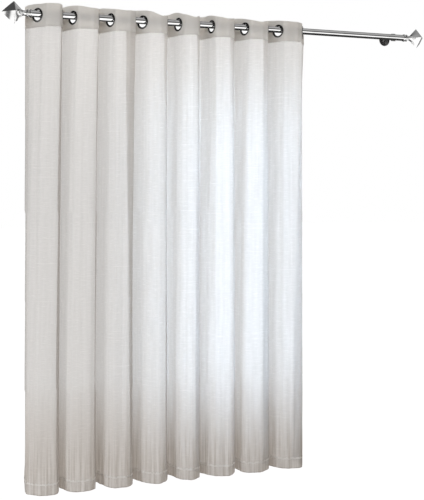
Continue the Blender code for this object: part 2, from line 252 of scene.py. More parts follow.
def joined_line(spans):
    """One line from spans of (points, length of flat cloth), with a point each LINE_STEP."""
    across, places = [], []
    start = 0.0
    for points, length in spans:
        count = round(length / LINE_STEP)
        shares = np.arange(count) / count
        across.append(start + shares * length)
        places.append(evenly(points, shares))
        start += length
    across.append([start])
    places.append([spans[-1][0][-1]])
    return np.concatenate(across), np.concatenate(places)


def heading_line():
    stations = heading_stations()
    first, turn, _ = stations[0]
    edge = along(first, heading_of(-LEFT_EDGE_TURN), -EDGE_TO_EYELET)
    flat = along(first, heading_of(turn), -RING_FLAT)
    spans = [([edge, flat, first], EDGE_TO_EYELET)]
    for here, after in zip(stations, stations[1:]):
        start = along(here[0], heading_of(here[1]), RING_FLAT)
        end = along(after[0], heading_of(after[1]), -RING_FLAT)
        length = EYELET_PITCH - 2 * RING_FLAT
        curve = curve_of_length(start, here[1], end, after[1], length, here[2])
        spans.append(([here[0], *curve, after[0]], EYELET_PITCH))
    last, turn, _ = stations[-1]
    flat = along(last, heading_of(turn), RING_FLAT)
    edge = along(flat, heading_of(RIGHT_EDGE_TURN), EDGE_TO_EYELET - RING_FLAT)
    spans.append(([last, flat, edge], EDGE_TO_EYELET))
    return joined_line(spans)


def hem_line():
    stations = hem_stations()
    first, turn = stations[0][:2]
    edge = curve_of_length(HEM_LEFT_EDGE, -HEM_LEFT_EDGE_TURN, first, turn, EDGE_TO_EYELET, 0.0)
    spans = [(edge, EDGE_TO_EYELET)]
    for here, after in zip(stations, stations[1:]):
        curve = curve_to_depth(here[0], here[1], after[0], after[1], here[2], here[3])
        spans.append((curve, EYELET_PITCH))
    last, turn = stations[-1][:2]
    edge = curve_of_length(last, turn, HEM_RIGHT_EDGE, HEM_RIGHT_EDGE_TURN, EDGE_TO_EYELET, 0.0)
    spans.append((edge, EDGE_TO_EYELET))
    return joined_line(spans)


def relaxed(share):
    return 1 - (1 - np.clip(share, 0.0, 1.0)) ** RELAX_POWER


def line_normals(places):
    """Unit normals of a plan line, towards the front where it runs along +X."""
    step = np.gradient(places, axis=0)
    size = np.linalg.norm(step, axis=1)
    return np.stack([step[:, 1] / size, -step[:, 0] / size], axis=1)


# Uneven fields


def smooth(share):
    share = np.clip(share, 0.0, 1.0)
    return share * share * (3 - 2 * share)


def uneven(across, down, cell_across, cell_down, seed):
    """A soft random field from -1 to 1 with these cell sizes."""
    rng = np.random.default_rng(seed)
    x, y = across / cell_across, down / cell_down
    x0, y0 = np.floor(x).astype(int), np.floor(y).astype(int)
    x0, y0 = x0 - x0.min(), y0 - y0.min()
    lattice = rng.uniform(-1, 1, (x0.max() + 2, y0.max() + 2))
    fx, fy = smooth(x - np.floor(x)), smooth(y - np.floor(y))
    upper = lattice[x0, y0] * (1 - fx) + lattice[x0 + 1, y0] * fx
    lower = lattice[x0, y0 + 1] * (1 - fx) + lattice[x0 + 1, y0 + 1] * fx
    return upper * (1 - fy) + lower * fy


def within(value, low, high, fade):
    """1 between low and high, and 0 a fade's width outside them."""
    return smooth((value - low) / fade + 1) * smooth((high - value) / fade + 1)


def bump_at(value, middle, width):
    return np.exp(-(((value - middle) / width) ** 2))


# Main creases of the panel, one row each: fold, share of the way round the crest from its left
# eyelet to its right one (1 to 2 is the trough after it), width, height towards the front, where
# it starts and ends down the panel, and how far it drifts to the right
CREASE_COLUMNS = ("fold", "share", "width", "height", "start", "end", "drift")
CREASES = (
    (0, 0.20, 0.010, 0.0030, 0.00, 1.70, 0.004),
    (0, 0.46, 0.016, -0.0026, 0.10, 2.03, 0.006),
    (0, 0.80, 0.012, 0.0028, 0.30, 2.03, -0.004),
    (0, 1.45, 0.018, -0.0040, 0.20, 2.03, 0.000),
    (1, 0.18, 0.009, 0.0026, 0.10, 2.03, 0.000),
    (1, 0.42, 0.010, -0.0030, 0.00, 1.60, 0.008),
    (1, 0.70, 0.012, 0.0034, 0.40, 2.03, -0.006),
    (1, 1.55, 0.014, 0.0040, 0.00, 1.50, 0.004),
    (2, 0.30, 0.008, 0.0036, 0.00, 2.03, 0.004),
    (2, 0.52, 0.009, -0.0034, 0.20, 2.03, -0.004),
    (2, 0.74, 0.008, 0.0030, 0.60, 2.03, 0.006),
    (2, 1.40, 0.016, -0.0040, 0.30, 2.03, 0.000),
    (3, 0.22, 0.010, 0.0030, 0.00, 1.30, 0.002),
    (3, 0.50, 0.008, 0.0034, 0.20, 2.03, 0.004),
    (3, 0.66, 0.008, -0.0030, 0.20, 2.03, 0.006),
    (3, 1.50, 0.014, 0.0036, 0.60, 2.03, 0.000),
    (4, 0.28, 0.009, -0.0030, 0.00, 2.03, 0.004),
    (4, 0.48, 0.009, 0.0038, 0.00, 2.03, 0.000),
    (4, 0.76, 0.010, -0.0026, 0.70, 2.03, -0.006),
    (4, 1.52, 0.016, -0.0036, 0.10, 2.03, 0.002),
    (5, 0.24, 0.008, 0.0030, 0.20, 2.03, 0.000),
    (5, 0.44, 0.009, -0.0032, 0.30, 2.03, 0.004),
    (5, 0.62, 0.008, 0.0030, 0.00, 2.03, 0.002),
    (5, 1.46, 0.014, 0.0038, 0.00, 1.80, 0.004),
    (6, 0.26, 0.010, -0.0028, 0.00, 1.60, 0.000),
    (6, 0.50, 0.009, 0.0038, 0.20, 2.03, 0.004),
    (6, 0.72, 0.008, -0.0030, 0.40, 2.03, 0.000),
    (6, 1.50, 0.014, -0.0036, 0.00, 2.03, 0.000),
    (7, 0.22, 0.009, 0.0030, 0.00, 2.03, 0.002),
    (7, 0.46, 0.008, -0.0034, 0.10, 2.03, 0.000),
    (7, 0.62, 0.008, 0.0036, 0.50, 2.03, 0.004),
    (7, 0.84, 0.009, -0.0028, 0.00, 2.03, 0.000),
)
CREASE_FADE = 0.35


def creases(across, down):
    height = np.zeros_like(across)
    for row in CREASES:
        crease = dict(zip(CREASE_COLUMNS, row))
        middle = EDGE_TO_EYELET + (2 * crease["fold"] + crease["share"]) * EYELET_PITCH
        middle = middle + crease["drift"] * down / PANEL_LENGTH
        length = within(down, crease["start"], crease["end"], CREASE_FADE)
        height += crease["height"] * bump_at(across, middle, crease["width"]) * length
    return height


# Soft corners of the stiff heading, one row a fold: share of the way round the crest and height,
# for the left corner and then for the right one
CORNERS = (
    (0.30, 0.0020, 0.66, 0.0034),
    (0.26, 0.0024, 0.64, 0.0030),
    (0.34, 0.0016, 0.62, 0.0034),
    (0.28, 0.0022, 0.56, 0.0036),
    (0.30, 0.0026, 0.66, 0.0028),
    (0.34, 0.0018, 0.62, 0.0032),
    (0.26, 0.0022, 0.60, 0.0034),
    (0.32, 0.0020, 0.62, 0.0034),
)
CORNER_WIDE = 0.009
CORNER_FADE = 0.020

# Uneven fields of the cloth, as (height, cell across, cell down, seed)
HEADING_WAVES = (0.0011, 0.030, 0.30, 32)
PANEL_WAVES = (0.0026, 0.030, 0.80, 11)
PANEL_RIPPLES = (0.0010, 0.014, 0.40, 12)
HEM_GATHERS = (0.0038, 0.0125, 0.30, 13)
SEAM_PUCKERS = (0.0007, 0.009, 0.12, 14)
HEM_EDGE = (0.0016, 0.055, 1.0, 21)
TOP_EDGE = (0.0006, 0.030, 1.0, 31)

# Where creases and fields start, end and fade down the panel
SETTLED_BY = 0.30
CLEAR_OF_SEAM = 0.05
EARLY_CREASE = 0.35
STIFF_LOST = 0.85
GATHERED_FROM = -0.004
GATHERED_TO = 0.012
GATHER_FADE = 0.075
PUCKERED = (0.012, 0.014, 0.040)
HEM_RIDGE = 0.0006
HEM_RIDGE_UP = 0.003
HEM_RIDGE_WIDE = 0.004


def off_rings(across):
    """0 on the flat stretches that hold the eyelets, rising to 1 between them."""
    distance = np.full_like(across, 1.0)
    for number in range(EYELET_COUNT):
        middle = EDGE_TO_EYELET + number * EYELET_PITCH
        distance = np.minimum(distance, np.abs(across - middle))
    return smooth((distance - RING_FLAT) / CORNER_FADE)


def field(across, down, row):
    height, cell_across, cell_down, seed = row
    return height * uneven(across, down, cell_across, cell_down, seed)


def stiff_relief(across, below_top):
    """How far the heading stands towards the front from its plan line."""
    relief = field(across, below_top, HEADING_WAVES)
    for fold, (left, left_height, right, right_height) in enumerate(CORNERS):
        start = EDGE_TO_EYELET + 2 * fold * EYELET_PITCH
        relief += left_height * bump_at(across, start + left * EYELET_PITCH, CORNER_WIDE)
        relief += right_height * bump_at(across, start + right * EYELET_PITCH, CORNER_WIDE)
    return relief * off_rings(across)


def panel_relief(across, down):
    """How far the panel stands towards the front from its plan line."""
    settled = smooth(down / SETTLED_BY)
    below_seam = smooth(down / CLEAR_OF_SEAM)
    relief = creases(across, down) * (EARLY_CREASE + (1 - EARLY_CREASE) * settled) * below_seam
    relief += stiff_relief(across, down + HEADING_HEIGHT) * (1 - STIFF_LOST * settled)
    relief += field(across, down, PANEL_WAVES) * settled
    relief += field(across, down, PANEL_RIPPLES) * settled
    stitch = PANEL_LENGTH - HEM_DEEP
    gathered = within(down, stitch + GATHERED_FROM, stitch + GATHERED_TO, GATHER_FADE)
    relief += field(across, down, HEM_GATHERS) * gathered
    relief += field(across, down, SEAM_PUCKERS) * within(down, *PUCKERED) * below_seam
    relief += HEM_RIDGE * bump_at(down, stitch - HEM_RIDGE_UP, HEM_RIDGE_WIDE)
    return relief


def hem_height(across):
    """How far the bottom edge dips below or above its line."""
    return field(across, np.zeros_like(across), HEM_EDGE)


class Plan:
    """The cloth's plan line at any height, read by distance across the flat cloth."""

    def __init__(self):
        self.across, self.heading = heading_line()
        _, self.hem = hem_line()

    def at(self, across, share):
        """Places and normals for a row of columns at one share of the hem's shape."""
        line = self.heading + (self.hem - self.heading) * share
        normals = line_normals(line)
        return self.read(line, across), self.read(normals, across)

    def read(self, table, across):
        """A table of the plan line's points, read at these distances across the cloth."""
        return np.stack([np.interp(across, self.across, table[:, axis]) for axis in (0, 1)], axis=1)

    def near(self, across, share):
        """Places and normals for columns that each have a share of their own."""
        share = np.broadcast_to(share, across.shape)[:, None]

        def place(at):
            upper, lower = self.read(self.heading, at), self.read(self.hem, at)
            return upper + (lower - upper) * share

        step = place(across + LINE_STEP) - place(across - LINE_STEP)
        size = np.linalg.norm(step, axis=1)
        return place(across), np.stack([step[:, 1] / size, -step[:, 0] / size], axis=1)


def row_points(places, normals, relief, heights):
    """Corners in X, Y and Z from plan places moved along their normals."""
    moved = places + normals * relief[:, None]
    x = moved[:, 0] - RIGHT_BRACKET_AT
    y = moved[:, 1] - PLATE_TO_ROD
    return np.stack([x, y, np.broadcast_to(heights, x.shape)], axis=1)


def grid_faces(rows, columns):
    start = (np.arange(rows - 1)[:, None] * columns + np.arange(columns - 1)).ravel()
    return np.stack([start, start + columns, start + columns + 1, start + 1], axis=1)


def mesh_object(name, points, faces, cloth=None):
    """A smooth object from points and faces, with the flat cloth's coordinates if given."""
    mesh = bpy.data.meshes.new(name)
    mesh.from_pydata([tuple(p) for p in points], [], [tuple(map(int, f)) for f in faces])
    if cloth is not None:
        layer = mesh.attributes.new("cloth", "FLOAT_VECTOR", "POINT")
        layer.data.foreach_set("vector", np.asarray(cloth, np.float32).ravel())
    mesh.shade_smooth()
    mesh.update()
    thing = bpy.data.objects.new(name, mesh)
    bpy.context.scene.collection.objects.link(thing)
    return thing


def panel_columns():
    """Distances across the cloth, with the side hems' turned-in layers as steps past each edge."""
    count = round(FLAT_WIDTH / COLUMN_STEP)
    main = np.linspace(0.0, FLAT_WIDTH, count + 1)
    turned = np.linspace(SIDE_HEM_WIDE, SIDE_HEM_WIDE / SIDE_STEPS, SIDE_STEPS)
    across = np.concatenate([turned, main, FLAT_WIDTH - turned[::-1]])
    layer = np.concatenate([np.ones(SIDE_STEPS), np.zeros(count + 1), np.ones(SIDE_STEPS)])
    return across, layer


def panel_rows():
    """Distances down the panel, and the layer: 0 in front and 1 for the hem's turned-up back."""
    upper = np.arange(-TUCK, TOP_ROWS_TO, TOP_ROW_STEP)
    middle = np.linspace(TOP_ROWS_TO, PANEL_LENGTH - HEM_ROWS_ABOVE, MIDDLE_ROWS)
    lower = np.linspace(PANEL_LENGTH - HEM_ROWS_ABOVE, PANEL_LENGTH, HEM_ROWS)[1:]
    turned = PANEL_LENGTH - np.linspace(TURNED_FROM, HEM_DEEP, TURNED_ROWS)
    down = np.concatenate([upper, middle, lower, turned])
    layer = np.concatenate([np.zeros(len(down) - TURNED_ROWS), np.ones(TURNED_ROWS)])
    return down, layer


def make_panel(plan):
    across, side_layer = panel_columns()
    down, hem_layer = panel_rows()
    points, cloth = [], []
    for distance, layer in zip(down, hem_layer):
        share = float(relaxed(distance / PANEL_LENGTH))
        places, normals = plan.at(across, share)
        level = np.full_like(across, distance)
        relief = panel_relief(across, level) - (layer + side_layer) * LAYER_GAP
        heights = SEAM - distance + hem_height(across) * smooth(level / PANEL_LENGTH)
        points.append(row_points(places, normals, relief, heights))
        cloth.append(np.stack([across, level, layer + side_layer], axis=1))
    faces = grid_faces(len(down), len(across))
    panel = mesh_object("voile_panel", np.concatenate(points), faces, np.concatenate(cloth))
    panel.data.materials.append(voile_material())
    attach(panel, BODY)
    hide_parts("panel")
    return panel


# Heading's uneven top edge, one row a fold: rise above a level edge at these eyelet pitches from
# the fold's left eyelet
RISE_AT = (-0.45, -0.10, 0.33, 0.60, 0.95)
HEADING_RISES = (
    (0.000, 0.002, 0.000, 0.000, -0.008),
    (0.006, 0.006, -0.002, -0.006, -0.007),
    (0.012, 0.005, -0.005, -0.007, -0.004),
    (0.008, 0.006, -0.005, -0.021, -0.012),
    (0.004, 0.008, -0.009, -0.017, -0.004),
    (0.006, 0.006, -0.007, -0.012, -0.005),
    (0.009, 0.001, -0.013, -0.017, -0.006),
    (0.007, 0.003, -0.005, -0.006, -0.012),
)
CORNER_DROP = 0.004
LEFT_CORNER_WIDE = 0.018
RIGHT_CORNER_WIDE = 0.022


def curve_through(known, values, wanted):
    """Smooth curve through known values."""
    known, values = np.array(known), np.array(values)
    slopes = np.gradient(values, known)
    index = np.clip(np.searchsorted(known, wanted) - 1, 0, len(known) - 2)
    gap = known[index + 1] - known[index]
    t = np.clip((wanted - known[index]) / gap, 0.0, 1.0)
    first = (1 + 2 * t) * (1 - t) ** 2 * values[index] + t * (1 - t) ** 2 * gap * slopes[index]
    last = t * t * (3 - 2 * t) * values[index + 1] - t * t * (1 - t) * gap * slopes[index + 1]
    return first + last


def heading_top(across):
    """Height of the heading's top edge."""
    known = [2 * fold + at for fold in range(len(HEADING_RISES)) for at in RISE_AT]
    rises = [rise for row in HEADING_RISES for rise in row]
    height = TOP + curve_through(known, rises, (across - EDGE_TO_EYELET) / EYELET_PITCH)
    left = smooth(1 - across / LEFT_CORNER_WIDE)
    right = smooth(1 - (FLAT_WIDTH - across) / RIGHT_CORNER_WIDE)
    return height - CORNER_DROP * (left + right) + field(across, across * 0, TOP_EDGE)


def heading_profile():
    """(distance down, layer offset) round the doubled heading: up the back, over, down the front."""
    radius = HEADING_THICK / 2
    flat = np.linspace(HEADING_HEIGHT, radius, HEADING_ROWS)
    turn = np.linspace(0, math.pi, HEADING_TURN_ROWS)[1:-1]
    over = radius * (1 - np.sin(turn))
    offsets = -radius * np.cos(turn)
    down = np.concatenate([flat, over, flat[::-1]])
    front = np.full(HEADING_ROWS, radius)
    offset = np.concatenate([-front, offsets, front])
    pinch = 1 - HEADING_PINCH * bump_at(down, HEADING_HEIGHT - PINCH_UP, PINCH_WIDE)
    return down, offset * pinch


def heading_places(plan, across, down, offset):
    """Corners of one row of the heading."""
    places, normals = plan.at(across, 0.0)
    level = np.full_like(across, down)
    top = heading_top(across)
    share = 1 - down / HEADING_HEIGHT
    heights = SEAM + (top - SEAM) * share
    return row_points(places, normals, stiff_relief(across, level) + offset, heights)


def eyelet_columns():
    """Distances across the cloth, evenly spaced."""
    count = round(FLAT_WIDTH / HEADING_COLUMN_STEP)
    return np.linspace(0.0, FLAT_WIDTH, count + 1)


def make_heading(plan):
    across = eyelet_columns()
    down, offset = heading_profile()
    points, cloth = [], []
    for distance, shift in zip(down, offset):
        points.append(heading_places(plan, across, distance, shift))
        side = np.full_like(across, 0.0 if shift > 0 else 1.0)
        cloth.append(np.stack([across, np.full_like(across, distance), side], axis=1))
    faces = grid_faces(len(down), len(across))
    heading = mesh_object("heading_cloth", np.concatenate(points), faces, np.concatenate(cloth))
    cut_holes(heading)
    heading.data.materials.append(heading_material())
    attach(heading, BODY)
    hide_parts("heading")
    return heading


def cut_holes(heading):
    """Opens the round holes that the eyelets fill, and draws their edges onto circles."""
    places = eyelet_places()
    centres = [(EDGE_TO_EYELET + k * EYELET_PITCH, at[2]) for k, (at, _) in enumerate(places)]
    work = bmesh.new()
    work.from_mesh(heading.data)
    layer = work.verts.layers.float_vector["cloth"]
    inside = []
    for face in work.faces:
        across = sum(v[layer][0] for v in face.verts) / len(face.verts)
        height = sum(v.co.z for v in face.verts) / len(face.verts)
        nearest = min(centres, key=lambda centre: abs(centre[0] - across))
        if math.hypot(across - nearest[0], height - nearest[1]) < HOLE_RADIUS:
            inside.append(face)
    rims = {v for face in inside for v in face.verts}
    bmesh.ops.delete(work, geom=inside, context="FACES")
    for vert in rims:
        if vert.is_valid:
            across = vert[layer][0]
            index = min(range(EYELET_COUNT), key=lambda k: abs(centres[k][0] - across))
            draw_to_circle(vert, *places[index])
    work.to_mesh(heading.data)
    work.free()


def draw_to_circle(vert, place, turn):
    """Moves a corner in the cloth's own plane onto the hole round this place."""
    x, y, z = place
    direction = heading_of(turn)
    flat = (vert.co.x - x) * direction[0] + (vert.co.y - y) * direction[1]
    rise = vert.co.z - z
    scale = HOLE_RADIUS / math.hypot(flat, rise)
    vert.co.x += direction[0] * flat * (scale - 1)
    vert.co.y += direction[1] * flat * (scale - 1)
    vert.co.z = z + rise * scale


# Stitches

STITCH = 0.0032
STITCH_GAP = 0.0011
THREAD = 0.0004
SEAM_ROWS = (0.004, 0.010)
ROW_IN = 0.003


def box_threads(name, starts, ends, outs):
    """Short threads as one object, from both ends of each and the way that it stands out."""
    side = np.cross(ends - starts, outs)
    side *= THREAD / np.linalg.norm(side, axis=1)[:, None]
    rise = outs * THREAD
    inset = (ends - starts) / 5
    corners = [starts - side, starts + side, ends + side, ends - side]
    upper = [starts - side / 2 + inset + rise, starts + side / 2 + inset + rise]
    upper += [ends + side / 2 - inset + rise, ends - side / 2 - inset + rise]
    points = np.stack(corners + upper, axis=1).reshape(-1, 3)
    box = np.array([(4, 5, 6, 7), (0, 1, 5, 4), (1, 2, 6, 5), (2, 3, 7, 6), (3, 0, 4, 7)])
    faces = (np.arange(len(starts))[:, None, None] * 8 + box).reshape(-1, 4)
    threads = mesh_object(name, points, faces)
    threads.data.materials.append(thread_material())
    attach(threads, BODY)
    return threads


def row_ends(length):
    """Starts and ends of the stitches in a row of this length."""
    starts = np.arange(STITCH, length - 2 * STITCH, STITCH + STITCH_GAP)
    return starts, starts + STITCH


def seam_point(plan, across, up):
    """Places on the heading's front, this far above its bottom edge."""
    level = np.full_like(across, HEADING_HEIGHT - up)
    places, normals = plan.near(across, np.zeros_like(across))
    stand = stiff_relief(across, level) + HEADING_THICK / 2
    return row_points(places, normals, stand, SEAM + up), normals


def panel_point(plan, across, down):
    """Places on the panel's front."""
    places, normals = plan.near(across, relaxed(down / PANEL_LENGTH))
    heights = SEAM - down + hem_height(across) * smooth(down / PANEL_LENGTH)
    return row_points(places, normals, panel_relief(across, down), heights), normals


def joined_rows(rows):
    """Threads' starts, ends and directions from rows of (first places, last places, normals)."""
    starts = np.concatenate([row[0] for row in rows])
    ends = np.concatenate([row[1] for row in rows])
    normals = np.concatenate([row[2] for row in rows])
    outs = np.column_stack([normals, np.zeros(len(normals))])
    return starts, ends, outs


def make_seam_stitches(plan):
    first, last = row_ends(FLAT_WIDTH)
    rows = []
    for up in SEAM_ROWS:
        start, normals = seam_point(plan, first, up)
        rows.append((start, seam_point(plan, last, up)[0], normals))
    threads = box_threads("seam_stitches", *joined_rows(rows))
    return threads


def make_hem_stitches(plan):
    first, last = row_ends(FLAT_WIDTH)
    level = PANEL_LENGTH - HEM_DEEP + ROW_IN
    start, normals = panel_point(plan, first, np.full_like(first, level))
    rows = [(start, panel_point(plan, last, np.full_like(last, level))[0], normals)]
    first, last = row_ends(PANEL_LENGTH)
    for across in (SIDE_HEM_WIDE - ROW_IN, FLAT_WIDTH - SIDE_HEM_WIDE + ROW_IN):
        side = np.full_like(first, across)
        start, normals = panel_point(plan, side, first)
        rows.append((start, panel_point(plan, side, last)[0], normals))
    threads = box_threads("hem_stitches", *joined_rows(rows))
    return threads


# Eyelets


def ring_profile_cad():
    groove = HEADING_THICK / 2 + FIT_GAP
    return [
        (RING_BORE, 0.0),
        (RING_BORE + RING_LIP_WIDE, RING_HALF_THICK - RING_LIP_DEEP),
        (RING_CORE, RING_HALF_THICK),
        (RING_OUTER, groove + RING_RIM),
        (RING_OUTER, groove),
        (RING_CORE, groove),
    ]


def rod_reach(height, turn, axial):
    slant = abs(math.radians(turn))
    half_width = ROD_RADIUS / math.sin(slant)
    shift = abs(axial / math.tan(slant))
    reach = 0.0
    for step in range(CAD_RING_SIDES + 1):
        angle = math.pi / 2 * step / CAD_RING_SIDES
        across = shift + half_width * math.cos(angle)
        reach = max(reach, math.hypot(across, ROD_RADIUS * math.sin(angle) - height))
    return reach


def hang_height(turn):
    flat_side = math.cos(math.pi / CAD_RING_SIDES)
    height = ROD_RADIUS + FIT_GAP - RING_BORE
    waist, lip, crown = ring_profile_cad()[:3]
    while any(
        rod_reach(height, turn, axial) > radius * flat_side - FIT_GAP
        for radius, axial in (waist, lip, crown)
    ):
        height += HANG_STEP
    return height


def eyelet_places():
    """(X, Y and Z, turn) of each eyelet."""
    return [
        ((place[0] - RIGHT_BRACKET_AT, place[1] - PLATE_TO_ROD, hang_height(turn)), turn)
        for place, turn, _ in heading_stations()
    ]


def ring_profile():
    """The ring's rounded section as (radius, distance along its axis)."""
    groove = HEADING_THICK / 2 + FIT_GAP
    front = [
        (RING_BORE, 0.0),
        (RING_BORE + 0.0001, 0.0012),
        (RING_BORE + 0.0006, 0.0023),
        (RING_BORE + 0.0017, 0.0032),
        (RING_CORE - 0.0006, 0.0037),
        (RING_CORE + 0.0008, 0.0037),
        (RING_CORE + 0.0026, 0.0031),
        (RING_OUTER - 0.0008, groove + 0.0010),
        (RING_OUTER - 0.0001, groove + 0.0005),
        (RING_OUTER, groove + 0.0001),
        (RING_OUTER - 0.0004, groove),
        (RING_CORE, groove),
    ]
    return front + [(radius, -axial) for radius, axial in reversed(front[1:])]


def make_eyelets(finish):
    profile = ring_profile()
    size = len(profile)
    for number, ((x, y, z), turn) in enumerate(eyelet_places(), 1):
        cos, sin = heading_of(turn)
        points, faces = [], []
        for side in range(RING_SIDES):
            angle = math.tau * side / RING_SIDES
            for radius, axial in profile:
                flat, rise = radius * math.cos(angle), radius * math.sin(angle)
                points.append((x + flat * cos - axial * sin, y + flat * sin + axial * cos, z + rise))
        for side in range(RING_SIDES):
            here, after = side * size, (side + 1) % RING_SIDES * size
            for corner in range(size):
                other = (corner + 1) % size
                faces.append((here + corner, here + other, after + other, after + corner))
        ring = mesh_object(f"ring_{number:02d}", points, faces)
        tidy_normals(ring.data, RING_SHARP)
        ring.data.materials.append(finish)
        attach(ring, BODY)
        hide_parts(f"eyelet_{number:02d}")


def tidy_normals(mesh, sharp):
    """Turns every face outwards, and shades edges above this angle as sharp."""
    work = bmesh.new()
    work.from_mesh(mesh)
    bmesh.ops.recalc_face_normals(work, faces=work.faces)
    work.to_mesh(mesh)
    work.free()
    mesh.set_sharp_from_angle(angle=math.radians(sharp))


# Rod and finials


def lathe_along_x(name, sections, sides, closed, start, direction):
    """A turned piece on the rod's axis, from sections of (x, function of angle to radius)."""
    points = []
    for x, radius_at in sections:
        for side in range(sides):
            turn = math.tau * side / sides
            radius = radius_at(turn)
            points.append(
                (
                    start - RIGHT_BRACKET_AT + direction * x,
                    radius * math.cos(turn) - PLATE_TO_ROD,
                    radius * math.sin(turn),
                )
            )
    rings = len(sections)
    faces = []
    for ring in range(rings if closed else rings - 1):
        here, after = ring * sides, (ring + 1) % rings * sides
        for side in range(sides):
            other = (side + 1) % sides
            faces.append((here + side, here + other, after + other, after + side))
    if not closed:
        faces.append(tuple(range(sides)))
        faces.append(tuple(range((rings - 1) * sides, rings * sides)))
    thing = mesh_object(name, points, faces)
    tidy_normals(thing.data, TURNED_SHARP)
    return thing


def square_section(half, square):
    def radius_at(turn):
        cornered = half / (abs(math.cos(turn)) + abs(math.sin(turn)))
        return (1 - square) * half + square * cornered

    return radius_at


def make_rod(finish):
    outer = square_section(ROD_RADIUS, 0.0)
    inner = square_section(ROD_RADIUS - ROD_WALL, 0.0)
    length = ROD_END - ROD_START
    sections = [(0.0, outer), (length, outer), (length, inner), (0.0, inner)]
    rod = lathe_along_x("rod_tube", sections, ROD_SIDES, True, ROD_START, 1)
    rod.data.materials.append(finish)
    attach(rod, BODY)
    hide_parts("rod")


def pillowed(rows, tip_out):
    """The finial's sections, with the pyramid's facets slightly rounded along their length."""
    base, tip = rows[-2], (tip_out, *rows[-1][1:])
    shares = [step / FACET_STEPS for step in range(1, FACET_STEPS)]
    between = [
        (
            base[0] + (tip[0] - base[0]) * share,
            base[1] + (tip[1] - base[1]) * share + FACET_BULGE * math.sin(math.pi * share),
            1.0,
        )
        for share in shares
    ]
    return [*rows[:-1], *between, tip]


def make_finials(finish):
    ends = (("left", ROD_START, -1, LEFT_TIP), ("right", ROD_END, 1, RIGHT_TIP))
    for name, start, direction, tip_out in ends:
        rows = pillowed(FINIAL_SECTIONS, tip_out)
        sections = [(out, square_section(half, square)) for out, half, square in rows]
        finial = lathe_along_x(f"pyramid_{name}", sections, FINIAL_SIDES, False, start, direction)
        finial.data.materials.append(finish)
        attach(finial, BODY)
        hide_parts(f"finial_{name}")


# Materials


def new_material(name):
    made = bpy.data.materials.new(name)
    made.use_nodes = True
    tree = made.node_tree
    return made, tree, tree.nodes["Principled BSDF"]


def node(tree, kind, **inputs):
    made = tree.nodes.new(kind)
    for name, value in inputs.items():
        made.inputs[name.replace("_", " ")].default_value = value
    return made


def math_node(tree, operation, first, second):
    made = tree.nodes.new("ShaderNodeMath")
    made.operation = operation
    for socket, value in zip(made.inputs, (first, second)):
        if isinstance(value, (int, float)):
            socket.default_value = value
        else:
            tree.links.new(value, socket)
    return made.outputs[0]


def plus(tree, *values):
    total = values[0]
    for value in values[1:]:
        total = math_node(tree, "ADD", total, value)
    return total


def times(tree, first, second):
    return math_node(tree, "MULTIPLY", first, second)


def scaled(tree, vector, cells):
    """A vector divided by cell sizes in metres."""
    made = tree.nodes.new("ShaderNodeVectorMath")
    made.operation = "MULTIPLY"
    tree.links.new(vector, made.inputs[0])
    made.inputs[1].default_value = [1 / cell for cell in cells]
    return made.outputs[0]


def noise_of(tree, vector, detail=2.0, roughness=0.5):
    made = node(tree, "ShaderNodeTexNoise", Scale=1.0, Detail=detail, Roughness=roughness)
    tree.links.new(vector, made.inputs["Vector"])
    return made.outputs["Fac"]


def ranged(tree, value, low, high, to_low=0.0, to_high=1.0):
    made = tree.nodes.new("ShaderNodeMapRange")
    made.inputs["From Min"].default_value = low
    made.inputs["From Max"].default_value = high
    made.inputs["To Min"].default_value = to_low
    made.inputs["To Max"].default_value = to_high
    tree.links.new(value, made.inputs["Value"])
    return made.outputs["Result"]


def wave_of(tree, vector, direction, period):
    made = tree.nodes.new("ShaderNodeTexWave")
    made.bands_direction = direction
    made.inputs["Scale"].default_value = math.tau / 20 / period
    made.inputs["Distortion"].default_value = 0.0
    tree.links.new(vector, made.inputs["Vector"])
    return made.outputs["Fac"]


def colour_sockets(sockets):
    return [socket for socket in sockets if socket.type == "RGBA"]


def mixed_colour(tree, share, first, second):
    made = tree.nodes.new("ShaderNodeMix")
    made.data_type = "RGBA"
    for socket, colour in zip(colour_sockets(made.inputs), (first, second)):
        socket.default_value = (*colour, 1.0)
    tree.links.new(share, made.inputs["Factor"])
    return colour_sockets(made.outputs)[0]


def bump_of(tree, height, strength, distance):
    made = node(tree, "ShaderNodeBump", Strength=strength, Distance=distance)
    tree.links.new(height, made.inputs["Height"])
    return made.outputs["Normal"]


def cloth_coordinates(tree):
    made = tree.nodes.new("ShaderNodeAttribute")
    made.attribute_name = "cloth"
    return made.outputs["Vector"]


YARN_PERIOD = 0.0007
# Down this range the cloth grows denser, and its see-through turns darker and warmer as painted shade
DENSE_AND_PAINTED_SHADE_DOWN = (1.55, 1.92)
# See-through tints: the cloth's own light tint above, and painted shade low down, a darker warm tint
# that stands in for shade behind the cloth
CLEAR_TINT_AND_PAINTED_SHADE = ((0.88, 0.88, 0.88), (0.68, 0.61, 0.55))
DENSE_COVER = (0.62, 0.80)
TURNED_COVER = 0.30
STRIP = (PANEL_LENGTH - HEM_DEEP - 0.0010, PANEL_LENGTH - HEM_DEEP + 0.0060)
STRIP_FADE = 0.0012
# Painted sheen and shade: pale and dark vertical streaks in the voile's colour, in cells of this
# size, growing stronger over this range down the panel towards the hem
PAINTED_STREAK_CELLS = (0.0125, 0.40, 1.0)
PAINTED_STREAK_DOWN = (1.76, 1.95)
PUCKER_CELLS = (0.014, 0.10, 1.0)


